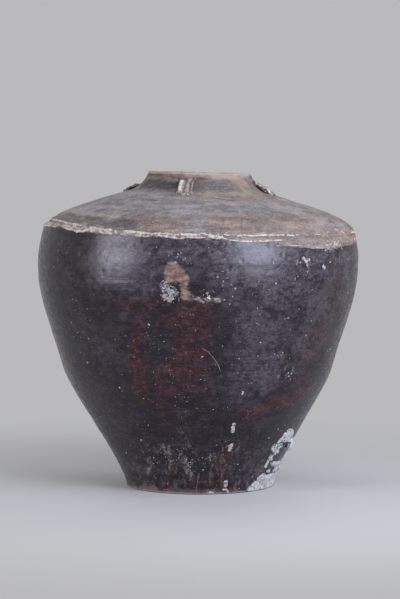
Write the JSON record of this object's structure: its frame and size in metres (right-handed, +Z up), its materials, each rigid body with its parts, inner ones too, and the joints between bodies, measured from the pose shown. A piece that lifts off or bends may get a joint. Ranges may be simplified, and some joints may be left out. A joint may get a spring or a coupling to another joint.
{
  "type": "storage jar",
  "caption": "Large dark-glazed stoneware storage jar with open mouth, short flared neck, ribbed strap lugs, wide tilted shoulder and walls that taper to a flat foot.",
  "frame": {"origin": "centre of the flat underside of the foot, on the floor that the jar stands on", "axes": "+Z up along the jar's axis; -Y towards the front lug; the four lugs lie on +X, +Y, -X and -Y"},
  "size_m": [0.5228, 0.5229, 0.5123],
  "materials": {
    "dark_glaze": "satin, dark purple-brown with iron-red streaks and pale specks",
    "worn_glaze": "worn matt glaze, grey to tan with level streaks",
    "bare_clay": "unglazed fired clay",
    "pale_slip": "rough pale slip",
    "lime": "chalky crust"
  },
  "bodies": {
    "root": {"base_slab": "bare_clay", "lower_wall": "dark_glaze", "upper_wall": "dark_glaze", "shoulder": "worn_glaze", "neck": "bare_clay", "shoulder_strip": "pale_slip", "lug_front": "bare_clay", "lug_right": "bare_clay", "lug_back": "bare_clay", "lug_left": "bare_clay", "lime_crust": "lime", "lime_knob": "lime"}
  },
  "joints": []
}
